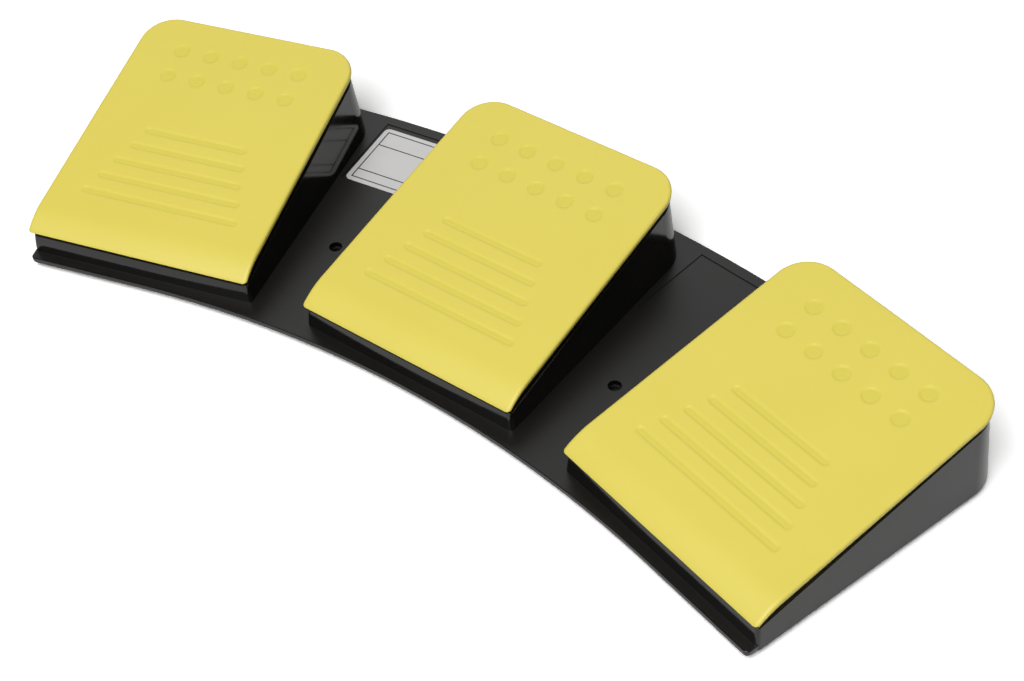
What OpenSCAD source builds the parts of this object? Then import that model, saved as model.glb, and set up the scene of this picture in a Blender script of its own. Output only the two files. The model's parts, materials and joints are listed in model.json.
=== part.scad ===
// Three-pedal foot switch on an arc-shaped base.
// Sizes are in millimetres. X runs along the row to the right, Y from the low front to the high rear, Z up.
// The origin is under the middle of the outline, on the plane of the feet.
// Inside the modules a pedal is drawn in its own frame: X across the pad, Y the distance from the arc's centre.

/* [Row of pedals] */
// Radius of the arc along the front edge of the base
arc_r = 372.7; // [330:0.1:420]
// Angle between neighbouring pedals
fan = 15.4; // [14.5:0.1:17]
// Depth of the base from its front edge to its rear edge
base_depth = 104.2; // [103:0.1:110]

/* [Pads] */
// Width of a pad
pad_w = 80; // [74:0.5:82]
// Distance of the pad's front edge behind the base's front edge
pad_set = 2.7; // [2.2:0.1:3.2]
// Distance of the pad's rear edge in front of the base's rear edge
pad_back = 5.7; // [5.2:0.1:6.4]
// Height of the pad's top plane at its rear edge, above the underside of the base
pad_rear_z = 32.2; // [31.8:0.1:34]
// Slope of the pad
pad_slope = 9.76; // [9.4:0.02:10]
// Thickness of the pad
pad_t = 2.4; // [2:0.1:2.6]
// Thickness of the pad's front lip
lip_t = 1.7; // [1.2:0.1:2]
// Radius of the pad's rear corners
pad_corner = 11.5; // [9:0.1:14]
// Radius of the pad's front corners
pad_front_corner = 1.3; // [1.2:0.1:3]
// Radius the nose of the pad is rolled down with
nose_r = 20; // [18:0.5:30]
// Length of the rolled nose
nose_run = 10.6; // [8:0.1:12]
// Width of the rounded edge of the pad
pad_edge = 0.7; // [0.5:0.1:1]
// Depth of the grip relief
grip_d = 0.35; // [0.2:0.05:0.5]
// Width of a grip groove
groove_w = 2.4; // [1.6:0.1:3.2]
// Distance between grip grooves
groove_pitch = 7; // [6:0.5:8]
// Radius of a grip stud
stud_r = 2.6; // [1.8:0.1:3.2]

/* [Base shell] */
// Thickness of the deck between the housings
deck_t = 2; // [1.8:0.1:2.6]
// Wall thickness of the housings
wall_t = 2.2; // [1.8:0.1:2.4]
// Ledge in front of the housings
ledge = 3.5; // [3:0.1:4]
// How far the pad overhangs the top of the housing wall
overhang = 0.6; // [0.4:0.05:0.8]
// Draft of the housing walls
draft = 6.4; // [5:0.1:7]
// Height of the housing wall at the front, above the underside of the base
wall_front_z = 9.95; // [9:0.05:10.4]
// Height of the housing wall at the rear
wall_rear_z = 27.6; // [26.8:0.1:28]
// How far the top of the front wall leans back
wall_lean = 0.6; // [0.4:0.1:1.4]
// Radius of the base's rear end corners
deck_corner = 20; // [16:0.5:22]
// Radius of the base's front end corners
deck_front_corner = 1.5; // [1.5:0.1:2.5]
// Depth of the recessed panels in the deck
panel_d = 0.3; // [0.2:0.05:0.5]
// Width of the label
label_w = 31.6; // [26:0.2:32]
// Height of the label
label_h = 28.4; // [22:0.2:29]
// Distance of the label in front of the base's rear edge
label_back = 6; // [5:0.1:8]
// Thickness of the label
label_t = 0.2; // [0.1:0.05:0.3]
// Radius of the fixing holes
fix_hole_r = 2.2; // [1.8:0.1:2.6]
// Distance of the fixing holes in front of the base's rear edge
fix_hole_back = 64.9; // [60:0.1:70]

/* [Bottom plate and feet] */
// Thickness of the steel bottom plate
plate_t = 1.4; // [1.2:0.1:1.8]
// How far the plate's edge lies inside the edge of the base shell
plate_inset = 1.2; // [0.6:0.1:1.2]
// Height of the rubber feet
foot_h = 1; // [0.6:0.1:2]
// Radius of the rubber feet
foot_r = 5; // [4:0.1:6]
// Core radius of the plate screws
screw_r = 1.3; // [1.1:0.05:1.5]
// Head radius of the plate screws
screw_head_r = 2.3; // [2.1:0.05:2.6]
// Length of the plate screws
screw_len = 6.4; // [5:0.1:7]

/* [Hinges and treadles] */
// Radius of the hinge pins
pin_r = 1.5; // [1.25:0.05:1.75]
// Radial clearance of the treadle on its pin
pin_fit = 0.05; // [0.02:0.01:0.08]
// Distance of the hinge behind the front wall of the housing
hinge_set = 7.3; // [7:0.1:8]
// Height of the hinge above the underside of the base
hinge_z = 6; // [5.6:0.1:6.2]
// Thickness of the treadle plate
tread_t = 2.2; // [1.8:0.1:2.4]
// Clearance between the treadle and the housing wall
tread_gap = 0.7; // [0.5:0.05:0.9]
// Depth of the treadle skirt below its plate
skirt_d = 6; // [4:0.2:6.4]
// Thickness of the treadle ribs
rib_t = 1.6; // [1.2:0.1:2]

/* [Return springs] */
// Distance of the springs in front of the top of the housing's rear wall
spring_back = 22.6; // [21:0.1:24]
// Distance of each spring from the side edge of the pad
spring_in = 14; // [13:0.5:15]
// Mean radius of the coil
coil_r = 4.2; // [3.9:0.1:4.6]
// Radius of the spring wire
wire_r = 0.45; // [0.35:0.05:0.55]
// Height of the spring's upper seat above the underside of the base
spring_top_z = 21; // [20:0.1:21.4]
// Number of turns
turns = 7; // [5:1:8]

/* [Switches and leads] */
// Distance of the switches in front of the springs
switch_in = 23; // [22:0.5:24.5]
// Width of a switch body
switch_w = 20; // [18:0.5:21]
// Depth of a switch body
switch_d = 6.5; // [5.8:0.1:7]
// Height of a switch body
switch_h = 10; // [9:0.1:10.4]
// Height of the underside of the switch body above the underside of the base
switch_z = 6.2; // [5.6:0.1:6.4]
// Radius of the plunger
plunger_r = 1.5; // [1.2:0.05:1.8]
// Height the plunger stands out of the switch body
plunger_h = 1.1; // [1:0.05:1.3]
// Gap between the plunger and the treadle's striker at rest
strike_gap = 0.15; // [0.1:0.05:0.25]
// Distance of each switch screw from the switch's middle
switch_screw_s = 4.75; // [4.5:0.05:5]
// Radius of the insulated leads
lead_r = 0.55; // [0.45:0.05:0.6]

/* [Controller and cord inlet] */
// Width of the circuit board
board_w = 36; // [34:0.5:37]
// Depth of the circuit board
board_d = 28; // [27:0.5:29]
// Thickness of the circuit board
board_t = 1.6; // [1.2:0.1:1.8]
// Height of the standoffs under the board
standoff_h = 4; // [3:0.1:5]
// Distance of the board behind the middle of the switch
board_set = 9; // [8.6:0.1:9.4]
// Radius of the cord hole in the grommet
cord_r = 2; // [1.6:0.1:2.4]
// Radius of the grommet's neck
neck_r = 4; // [3.6:0.1:4.4]
// Height of the grommet's middle above the underside of the base
inlet_z = 9; // [8.9:0.1:9.6]

/* [Hidden] */
$fn = 48;
thin = 0.01;
rear_edge = arc_r + base_depth;
deck_z = plate_t + deck_t;
front_wall_r = arc_r + ledge;
front_top_r = front_wall_r + wall_lean;
front_break_z = wall_front_z * 0.66;
front_corner = 1.2;
pad_front_r = arc_r + pad_set;
pad_rear_r = rear_edge - pad_back;
nose_start = pad_front_r + nose_run;
pad_tv = pad_t / cos(pad_slope);
top_half = pad_w / 2 - overhang;
rear_top_r = pad_rear_r - overhang;
wall_corner = pad_corner - overhang;
wall_slope = atan((wall_rear_z - wall_front_z) / (rear_top_r - front_top_r));
lean = tan(draft);
hinge_r = front_wall_r + hinge_set;
ear_t = 3;
knuckle_t = 5;
knuckle_r = pin_r + 1.9;
ear_s = top_half - 8;
knuckle_s = ear_s - ear_t / 2 - 1 - knuckle_t / 2;
ear_top = hinge_z + pin_r + 2.5;
tread_half = top_half - wall_t - tread_gap;
tread_rear = rear_top_r - wall_t - tread_gap;
tread_front = front_top_r + wall_t + tread_gap;
tread_corner = wall_corner - wall_t - tread_gap;
tread_tv = tread_t / cos(pad_slope);
glue_t = 0.06;
skirt_set = 9;
skirt_front = hinge_r + skirt_set;
rib_d = 3.6;
front_rib_set = 20;
rear_rib_set = 8;
long_rib_gap = 3;
rib_side_gap = 0.5;
striker_r = 2.6;
spring_s = pad_w / 2 - spring_in;
spring_r = rear_top_r - spring_back;
switch_r = spring_r - switch_in;
switch_front = switch_r - switch_d / 2;
switch_back = switch_r + switch_d / 2;
switch_top = switch_z + switch_h;
plunger_top = switch_top + plunger_h;
striker_z = plunger_top + strike_gap;
plunger_sunk = 2;
tab_w = 5;
switch_screw_z = switch_z + 3;
small_screw_r = 1;
small_head_r = 1.9;
small_head_h = 1.3;
blade_t = 0.5;
blade_w = 3.2;
blade_len = 2.8;
blade_in = 1;
blade_s = switch_w / 2 - 1.4;
lead_z = plate_t + lead_r + 0.05;
solder_r = switch_r - blade_t / 2 - lead_r - 0.08;
channel_r = switch_r - 1;
channel_w = 8 * lead_r;
channel_h = 2 * lead_r + 0.2;
board_front = switch_r + board_set;
board_rear = board_front + board_d;
board_z = plate_t + standoff_h;
board_top = board_z + board_t;
board_screw_s = board_w / 2 - 3;
plug_w = 6;
plug_d = 5;
plug_h = 6;
plug_pitch = 9;
plug_front = board_front + 1.5;
plug_lead_z = board_top + 3.6;
boss_r = 3.1;
boss_in = 1.6;
front_boss_set = 14.5;
front_boss_h = 6.4;
rear_boss_set = 10;
rear_boss_h = 11;
front_boss_r = hinge_r + front_boss_set;
front_boss_z = plate_t + front_boss_h;
rear_boss_r = spring_r + rear_boss_set;
rear_boss_z = plate_t + rear_boss_h;
pilot_r = screw_r - 0.1;
hook_in = 11;
hook_s = spring_s - hook_in;
hook_w = 7;
hook_t = 2.2;
lug_z = 15;
lug_h = 2.5;
hook_gap = 0.3;
hook_front = tread_rear - 6.4;
hook_foot_rear = hook_front + 6;
hook_foot_h = 2.7;
seat_front = rear_top_r - 1.3;
seat_rear = rear_top_r + lean * (wall_rear_z - inlet_z) + 1;
flange_t = 1.2;
neck_fit = 0.05;
flange_r = neck_r + 1.5;
half_fan = fan / 2;
fix_r = rear_edge - fix_hole_back;
label_front = rear_edge - label_back - label_h;
panel_rim = 0.8;
panel_rear_rim = 2;
panel_w = label_w + 2 * panel_rim;
panel_front = label_front - panel_rim;
panel_h = label_h + panel_rim + panel_rear_rim;

// Heights of the pad's top and underside, and of the housing's rim, at a distance from the arc's centre
function nose_drop(r) = r < nose_start ? nose_r - sqrt(nose_r * nose_r - pow(nose_start - r, 2)) : 0;
function pad_top(r) = pad_rear_z + (r - pad_rear_r) * tan(pad_slope) - nose_drop(r);
function pad_thick(r) = r < nose_start ? pad_tv + (lip_t - pad_tv) * (nose_start - r) / nose_run : pad_tv;
function pad_under(r) = pad_top(r) - pad_thick(r);
function tread_top(r) = pad_under(r) - glue_t;
function tread_under(r) = tread_top(r) - tread_tv;
function rim_z(r) = wall_rear_z + (r - rear_top_r) * tan(wall_slope);
function wall_half(r, z) = top_half + lean * (rim_z(r) - z);

// Outline of the base's end, measured in the end pedal's frame
function end_half(r) = wall_half(r, deck_z) - 0.1;
end_lean = atan((end_half(rear_edge) - end_half(arc_r)) / base_depth);
function end_centre(r, rad) = [end_half(r) - rad / cos(end_lean), r];
front_end = end_centre(arc_r + deck_front_corner, deck_front_corner);
rear_end = end_centre(rear_edge - deck_corner, deck_corner);
front_y = front_end[1] * cos(fan) - front_end[0] * sin(fan) - deck_front_corner;
mid_y = (front_y + rear_edge) / 2;

module placed() {
    translate([0, -mid_y, foot_h])
        children();
}

module pedal_at(k) {
    placed()
        rotate([0, 0, -k * fan])
            children();
}

module every_pedal() {
    for (k = [-1, 0, 1])
        pedal_at(k)
            children();
}

module both_sides() {
    for (m = [-1, 1])
        scale_side(m)
            children();
}

module scale_side(m) {
    if (m > 0)
        children();
    else
        mirror([1, 0, 0])
            children();
}

// Sweeps a profile drawn as distance and height across the pedal
module across(w) {
    rotate([90, 0, 90])
        translate([0, 0, -w / 2])
            linear_extrude(height = w)
                children();
}

// A bar lying along the pedal's width
module cross_bar(s, r, z, rad, len) {
    translate([s, r, z])
        rotate([0, 90, 0])
            cylinder(r = rad, h = len, center = true);
}

// A bar pointing to the rear
module rear_bar(s, r, z, rad, len) {
    translate([s, r, z])
        rotate([-90, 0, 0])
            cylinder(r = rad, h = len);
}

module block(s0, s1, r0, r1, z0, z1) {
    translate([s0, r0, z0])
        cube([s1 - s0, r1 - r0, z1 - z0]);
}

// Round wire along a line of points
function unit(v) = v / norm(v);
function path_dirs(p) = [
    for (i = [0 : len(p) - 1])
        unit(p[min(i + 1, len(p) - 1)] - p[max(i - 1, 0)])
];
function path_sides(d, n) = [
    for (i = 0, v = unit(n - (n * d[0]) * d[0]);
         i < len(d);
         i = i + 1, v = i < len(d) ? unit(v - (v * d[i]) * d[i]) : v)
        v
];
function between(a, b, c, d, t) =
    0.5 * (2 * b + (c - a) * t + (2 * a - 5 * b + 4 * c - d) * t * t + (3 * b - a - 3 * c + d) * t * t * t);
function smooth_path(p, n) = [
    for (i = [0 : len(p) - 2])
        for (j = [0 : (i == len(p) - 2 ? n : n - 1)])
            between(p[max(i - 1, 0)], p[i], p[i + 1], p[min(i + 2, len(p) - 1)], j / n)
];

module wire(p, rad, sides, start_side) {
    d = path_dirs(p);
    v = path_sides(d, start_side);
    n = len(p);
    ring = [for (j = [0 : sides - 1]) (j + 0.5) * 360 / sides];
    points = [
        for (i = [0 : n - 1])
            for (a = ring)
                p[i] + rad * (cos(a) * v[i] + sin(a) * cross(d[i], v[i]))
    ];
    walls = [
        for (i = [0 : n - 2])
            for (j = [0 : sides - 1])
                for (f = [0, 1])
                    let (k = (j + 1) % sides)
                        f == 0
                            ? [i * sides + j, (i + 1) * sides + j, (i + 1) * sides + k]
                            : [i * sides + j, (i + 1) * sides + k, i * sides + k]
    ];
    first = [[for (j = [0 : sides - 1]) j]];
    last = [[for (j = [sides - 1 : -1 : 0]) (n - 1) * sides + j]];
    polyhedron(points = points, faces = concat(walls, first, last), convexity = 8);
}

// Plan of the base: an arc-shaped strip with straight ends
function turned(p, a) = [p[0] * cos(a) + p[1] * sin(a), p[1] * cos(a) - p[0] * sin(a)];
function arc_pts(r, a0, a1, n) = [for (i = [0 : n]) turned([0, r], a0 + (a1 - a0) * i / n)];
function bend_pts(c, rad, a0, a1, n) = [
    for (i = [0 : n])
        let (a = a0 + (a1 - a0) * i / n)
            c + rad * [cos(a), sin(a)]
];
function end_pts(inset) = concat(
    bend_pts(front_end, deck_front_corner - inset, -90, -end_lean, 6),
    bend_pts(rear_end, deck_corner - inset, -end_lean, 90, 16)
);

module base_outline(inset) {
    side = end_pts(inset);
    last = len(side) - 1;
    polygon(concat(
        arc_pts(arc_r + inset, -fan, fan, 30),
        [for (p = side) turned(p, fan)],
        arc_pts(rear_edge - inset, fan, -fan, 36),
        [for (i = [last : -1 : 0]) turned([-side[i][0], side[i][1]], -fan)]
    ));
}

// One pedal housing as a drafted wedge, drawn in by a wall and raised above its rim for the hollow
module housing(off, low, rise) {
    rear_c = rear_top_r - wall_corner;
    side_c = top_half - wall_corner;
    up = lean * rise;
    hull()
        both_sides() {
            translate([side_c, rear_c, low])
                cylinder(r = wall_corner + lean * (rim_z(rear_c) - low) - off, h = thin, $fn = 64);
            translate([side_c, rear_c, rim_z(rear_c) + rise])
                rotate([wall_slope, 0, 0])
                    cylinder(r = wall_corner - off - up, h = thin, $fn = 64);
            front_post(off, low, wall_half(front_wall_r, low), front_wall_r);
            front_post(off, front_break_z, wall_half(front_wall_r, front_break_z), front_wall_r + 0.15);
            front_post(off, rim_z(front_top_r) + rise, top_half - up, front_top_r);
        }
}

module front_post(off, z, half, r) {
    translate([half - off - front_corner, r + off + front_corner, z])
        cylinder(r = front_corner, h = thin, $fn = 16);
}

// Places between the pedals: the middle of the gap on the left and on the right
module gap_at(m) {
    placed()
        rotate([0, 0, -m * half_fan])
            children();
}

module fixing_holes(low, high) {
    for (m = [-1, 1])
        gap_at(m)
            translate([0, fix_r, low])
                cylinder(r = fix_hole_r, h = high - low);
}

module lead_channel(m) {
    inner = [m * (top_half - 4), channel_r];
    outer = [
        m * (channel_r * sin(fan) - (top_half - 4) * cos(fan)),
        channel_r * cos(fan) + (top_half - 4) * sin(fan)
    ];
    run = outer - inner;
    placed()
        translate([inner[0], inner[1], plate_t - 1])
            rotate([0, 0, atan2(run[1], run[0])])
                translate([0, -channel_w / 2, 0])
                    cube([norm(run), channel_w, channel_h + 1]);
}

module base_shell() {
    color([0.07, 0.07, 0.075])
        difference() {
            union() {
                difference() {
                    union() {
                        placed()
                            translate([0, 0, plate_t])
                                linear_extrude(height = deck_t)
                                    base_outline(0);
                        every_pedal()
                            housing(0, plate_t, 0);
                    }
                    every_pedal()
                        housing(wall_t, plate_t - 1, 5);
                }
                every_pedal()
                    shell_fittings();
                pedal_at(0)
                    rear_bar(0, seat_front, inlet_z, flange_r + 1, seat_rear - seat_front);
            }
            every_pedal()
                shell_bores();
            fixing_holes(plate_t - 1, deck_z + 1);
            for (m = [-1, 1]) {
                lead_channel(m);
                gap_at(m)
                    block(-panel_w / 2, panel_w / 2, panel_front, panel_front + panel_h, deck_z - panel_d, deck_z + thin);
            }
            pedal_at(0)
                rear_bar(0, seat_front - 2, inlet_z, neck_r, seat_rear - seat_front + 4);
        }
}

// Hinge ears, screw bosses and the lugs that stop the treadle on its way up
module shell_fittings() {
    both_sides() {
        block(ear_s - ear_t / 2, ear_s + ear_t / 2, front_wall_r + 1, hinge_r + 5, plate_t, ear_top);
        translate([wall_half(front_boss_r, front_boss_z) - wall_t - boss_in, front_boss_r, plate_t])
            cylinder(r = boss_r, h = front_boss_z - plate_t);
        translate([wall_half(rear_boss_r, rear_boss_z) - wall_t - boss_in, rear_boss_r, plate_t])
            cylinder(r = boss_r, h = rear_boss_z - plate_t);
        block(hook_s - hook_w / 2 - 1, hook_s + hook_w / 2 + 1, hook_front + hook_t + 1, rear_top_r, lug_z, lug_z + lug_h);
    }
}

module shell_bores() {
    both_sides() {
        cross_bar(ear_s, hinge_r, hinge_z, pin_r + 0.01, ear_t + 1);
        block(ear_s - ear_t, ear_s + ear_t, hinge_r - pin_r - 0.01, hinge_r + pin_r + 0.01, plate_t - 1, hinge_z);
        screw_spots()
            cylinder(r = pilot_r, h = screw_len + 0.4);
    }
}

module screw_spots() {
    translate([wall_half(front_boss_r, front_boss_z) - wall_t - boss_in, front_boss_r, 0])
        children();
    translate([wall_half(rear_boss_r, rear_boss_z) - wall_t - boss_in, rear_boss_r, 0])
        children();
}

module bottom_plate() {
    color([0.2, 0.2, 0.21])
        difference() {
            union() {
                placed()
                    linear_extrude(height = plate_t)
                        base_outline(plate_inset);
                every_pedal() {
                    both_sides() {
                        keeper();
                        translate([spring_s, spring_r, plate_t / 2])
                            cylinder(r = coil_r - wire_r - 0.6, h = plate_t / 2 + 2);
                        switch_tab();
                    }
                }
                pedal_at(0)
                    board_spots()
                        translate([0, 0, plate_t / 2])
                            cylinder(r = 2.4, h = board_z - plate_t / 2);
            }
            every_pedal()
                both_sides() {
                    screw_spots()
                        plate_screw(0.05);
                    rear_bar(switch_screw_s, switch_back - 1, switch_screw_z, small_screw_r, 4);
                }
            pedal_at(0)
                board_spots()
                    translate([0, 0, plate_t + 0.4])
                        cylinder(r = small_screw_r, h = standoff_h);
            fixing_holes(-1, plate_t + 1);
        }
}

module keeper() {
    block(ear_s - ear_t / 2, ear_s + ear_t / 2, hinge_r - pin_r + 0.1, hinge_r + pin_r - 0.1,
        plate_t / 2, hinge_z - pin_r);
}

module switch_tab() {
    block(switch_screw_s - tab_w / 2, switch_screw_s + tab_w / 2, switch_back, switch_back + plate_t,
        plate_t / 2, switch_screw_z + 3);
}

module board_spots() {
    for (m = [-1, 1])
        for (r = [board_front + 3, board_rear - 3])
            translate([m * board_screw_s, r, 0])
                children();
}

// Countersunk screw standing in the underside of the plate
module plate_screw(grow) {
    cone = screw_head_r - screw_r;
    translate([0, 0, grow > 0 ? -1 : 0.1])
        cylinder(r = screw_head_r + grow, h = grow > 0 ? 1.3 : 0.2);
    translate([0, 0, 0.3])
        cylinder(r1 = screw_head_r + grow, r2 = screw_r + grow, h = cone);
    translate([0, 0, 0.2])
        cylinder(r = screw_r + grow, h = grow > 0 ? plate_t : screw_len - 0.2);
}

module plate_screws() {
    color([0.55, 0.56, 0.58])
        every_pedal()
            both_sides()
                screw_spots()
                    difference() {
                        plate_screw(0);
                        drive_cross(0, 0.8);
                    }
}

module drive_cross(low, high) {
    translate([0, 0, low])
        for (a = [0, 90])
            rotate([0, 0, a])
                translate([-1.1, -0.25, -0.1])
                    cube([2.2, 0.5, high - low + 0.1]);
}

module feet() {
    color([0.09, 0.09, 0.09])
        every_pedal()
            both_sides() {
                translate([spring_s, hinge_r - 1, -foot_h])
                    cylinder(r = foot_r, h = foot_h);
                translate([spring_s, rear_boss_r + 3, -foot_h])
                    cylinder(r = foot_r, h = foot_h);
            }
}

module blank_label() {
    corner = 2;
    color([0.85, 0.85, 0.85])
        gap_at(-1)
            translate([0, label_front, deck_z - panel_d])
                linear_extrude(height = label_t) {
                    translate([-label_w / 2, corner])
                        square([label_w, label_h - 2 * corner]);
                    translate([-label_w / 2 + corner, 0])
                        square([label_w - 2 * corner, label_h]);
                    for (m = [-1, 1])
                        for (y = [corner, label_h - corner])
                            translate([m * (label_w / 2 - corner), y])
                                circle(r = corner);
                }
}

// Rubber pad, built up from rounded loops
function corner_pts(cs, cr, rad, a0, a1, n) = [
    for (i = [0 : n])
        let (a = a0 + (a1 - a0) * i / n)
            [cs + rad * cos(a), cr + rad * sin(a)]
];
function pad_side(inset) =
    let (
        w = pad_w / 2 - inset,
        fr = pad_front_corner - inset,
        rr = pad_corner - inset,
        front = pad_front_r + inset,
        rear = pad_rear_r - inset,
        bend0 = pad_front_r + pad_front_corner,
        steps = 6
    )
        concat(
            corner_pts(w - fr, front + fr, fr, -90, 0, 6),
            [for (i = [1 : steps]) [w, bend0 + (nose_start - bend0) * i / steps]],
            corner_pts(w - rr, rear - rr, rr, 0, 90, 12)
        );
function pad_loop(inset, share) =
    let (side = pad_side(inset), n = len(side))
        [
            for (j = [0 : 2 * n - 1])
                let (p = j < n ? side[j] : side[2 * n - 1 - j])
                    [j < n ? p[0] : -p[0], p[1], pad_top(p[1]) - share * pad_thick(p[1])]
        ];

module pad_body() {
    layers = [[0.4, 1], [0, 0.8], [0, 0.5], [0.134 * pad_edge, 0.25], [0.5 * pad_edge, 0.067], [pad_edge, 0]];
    loops = [for (l = layers) pad_loop(l[0], l[1])];
    n = len(loops[0]);
    h = n / 2;
    top = (len(layers) - 1) * n;
    points = [for (l = loops) for (p = l) p];
    walls = [
        for (i = [0 : len(layers) - 2])
            for (j = [0 : n - 1])
                for (f = [0, 1])
                    let (k = (j + 1) % n)
                        f == 0
                            ? [i * n + j, (i + 1) * n + j, (i + 1) * n + k]
                            : [i * n + j, (i + 1) * n + k, i * n + k]
    ];
    upper = [
        for (i = [0 : h - 2])
            [top + i, top + n - 1 - i, top + n - 2 - i, top + i + 1]
    ];
    lower = [
        for (i = [0 : h - 2])
            [i, i + 1, n - 2 - i, n - 1 - i]
    ];
    polyhedron(points = points, faces = concat(walls, upper, lower), convexity = 6);
}

// Carries a shape drawn flat to the pad's sloping top
module on_pad(s, r) {
    translate([s, r, pad_top(r)])
        rotate([pad_slope, 0, 0])
            children();
}

module grip_groove(r, half) {
    on_pad(0, r) {
        translate([-half, -groove_w / 2, -grip_d])
            cube([2 * half, groove_w, grip_d + 1]);
        for (m = [-1, 1])
            translate([m * half, 0, -grip_d])
                cylinder(r = groove_w / 2, h = grip_d + 1, $fn = 24);
    }
}

module grip_stud(s, r) {
    on_pad(s, r)
        translate([0, 0, -grip_d])
            cylinder(r = stud_r, h = grip_d + 1, $fn = 24);
}

module pad(k) {
    color([0.88, 0.80, 0.25])
        pedal_at(k)
            difference() {
                pad_body();
                for (i = [0 : 4])
                    grip_groove(nose_start + 8 + i * groove_pitch, pad_w * (0.34 - 0.03 * i));
                for (row = [0, 1])
                    for (i = [-2 : 2])
                        grip_stud(i * pad_w * 0.14, pad_rear_r - 14 - row * 1.6 * groove_pitch);
            }
}

module pad_left() {
    pad(-1);
}

module pad_centre() {
    pad(0);
}

module pad_right() {
    pad(1);
}

// Treadle: plate under the pad with skirt, ribs, hinge knuckles, spring seats, striker and hooks
module tread_plan(inset, front) {
    half = tread_half - inset;
    rear = tread_rear - inset;
    rad = tread_corner - inset;
    translate([-half, front])
        square([2 * half, rear - rad - front]);
    translate([-half + rad, rear - rad - 1])
        square([2 * (half - rad), rad + 1]);
    for (m = [-1, 1])
        translate([m * (half - rad), rear - rad])
            circle(r = rad);
}

module tread_plate() {
    steps = 4;
    bend = [for (i = [0 : steps]) tread_front + (nose_start - tread_front) * i / steps];
    profile = concat(
        [for (r = bend) [r, tread_top(r)]],
        [[tread_rear, tread_top(tread_rear)], [tread_rear, tread_under(tread_rear)]],
        [for (i = [steps : -1 : 0]) [bend[i], tread_under(bend[i])]]
    );
    intersection() {
        across(2 * tread_half)
            polygon(profile);
        linear_extrude(height = 2 * pad_rear_z)
            tread_plan(0, tread_front);
    }
}

module tread_skirt() {
    intersection() {
        across(2 * tread_half)
            polygon([
                [tread_front, tread_under(tread_front) + 1],
                [nose_start, tread_under(nose_start) + 1],
                [tread_rear, tread_under(tread_rear) + 1],
                [tread_rear, tread_under(tread_rear) - skirt_d],
                [skirt_front, tread_under(skirt_front) - skirt_d],
                [hinge_r + 5, ear_top + 0.4],
                [tread_front, ear_top + 0.4]
            ]);
        linear_extrude(height = 2 * pad_rear_z)
            difference() {
                tread_plan(0, tread_front);
                tread_plan(rib_t, tread_front + rib_t);
            }
    }
}

module long_rib(s, r0, r1, depth) {
    translate([s, 0, 0])
        across(rib_t)
            polygon([
                [r0, tread_under(r0) + 1],
                [r1, tread_under(r1) + 1],
                [r1, tread_under(r1) - depth],
                [r0, tread_under(r0) - depth]
            ]);
}

module cross_rib(r, half, depth) {
    block(-half, half, r - rib_t / 2, r + rib_t / 2, tread_under(r) - depth, tread_under(r) + 1);
}

module treadle(k) {
    color([0.09, 0.09, 0.095])
        pedal_at(k)
            difference() {
                union() {
                    tread_plate();
                    tread_skirt();
                    both_sides() {
                        long_rib(switch_w / 2 + long_rib_gap, skirt_front, hook_front - 2, rib_d);
                        tread_fittings();
                    }
                    cross_rib(hinge_r + front_rib_set, tread_half - rib_side_gap, rib_d);
                    cross_rib(spring_r - rear_rib_set, tread_half - rib_side_gap, rib_d);
                    translate([0, switch_r, striker_z])
                        cylinder(r = striker_r, h = tread_under(switch_r) + 0.9 - striker_z);
                }
                cross_bar(0, hinge_r, hinge_z, pin_r + pin_fit, 2 * tread_half);
            }
}

module tread_fittings() {
    seat_r = coil_r + wire_r + 1.2;
    cross_bar(knuckle_s, hinge_r, hinge_z, knuckle_r, knuckle_t);
    block(knuckle_s - knuckle_t / 2, knuckle_s + knuckle_t / 2, hinge_r - 2.2, hinge_r + knuckle_r,
        hinge_z, tread_under(hinge_r) + 1);
    translate([spring_s, spring_r, spring_top_z])
        cylinder(r = seat_r, h = tread_under(spring_r) + 0.4 - spring_top_z);
    translate([spring_s, spring_r, spring_top_z - 3])
        cylinder(r = coil_r - wire_r - 0.6, h = 4);
    block(hook_s - hook_w / 2, hook_s + hook_w / 2, hook_front, hook_front + hook_t,
        lug_z - hook_gap - hook_foot_h, tread_under(hook_front) + 1);
    block(hook_s - hook_w / 2, hook_s + hook_w / 2, hook_front, hook_foot_rear,
        lug_z - hook_gap - hook_foot_h, lug_z - hook_gap);
}

module treadle_left() {
    treadle(-1);
}

module treadle_centre() {
    treadle(0);
}

module treadle_right() {
    treadle(1);
}

module hinge_pin(k) {
    half = wall_half(hinge_r, hinge_z) - wall_t - 0.4;
    color([0.7, 0.71, 0.73])
        pedal_at(k)
            cross_bar(0, hinge_r, hinge_z, pin_r, 2 * half);
}

module hinge_pin_left() {
    hinge_pin(-1);
}

module hinge_pin_centre() {
    hinge_pin(0);
}

module hinge_pin_right() {
    hinge_pin(1);
}

// Compression spring with one flat turn at each end
module spring(k, m) {
    per_turn = 14;
    flat = 1;
    count = turns * per_turn;
    low = plate_t + wire_r;
    high = spring_top_z - wire_r;
    lift = high - low - 4 * wire_r;
    points = [
        for (i = [0 : count])
            let (
                t = i / per_turn,
                a = 360 * t,
                mid = min(max((t - flat) / (turns - 2 * flat), 0), 1),
                ends = 2 * wire_r * (min(t / flat, 1) + max(t - turns + flat, 0) / flat)
            )
                [coil_r * cos(a), coil_r * sin(a), low + ends + lift * mid]
    ];
    color([0.72, 0.73, 0.75])
        pedal_at(k)
            translate([m * spring_s, spring_r, 0])
                wire(points, wire_r, 6, [0, 0, 1]);
}

module spring_left_a() {
    spring(-1, -1);
}

module spring_left_b() {
    spring(-1, 1);
}

module spring_centre_a() {
    spring(0, -1);
}

module spring_centre_b() {
    spring(0, 1);
}

module spring_right_a() {
    spring(1, -1);
}

module spring_right_b() {
    spring(1, 1);
}

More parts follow.
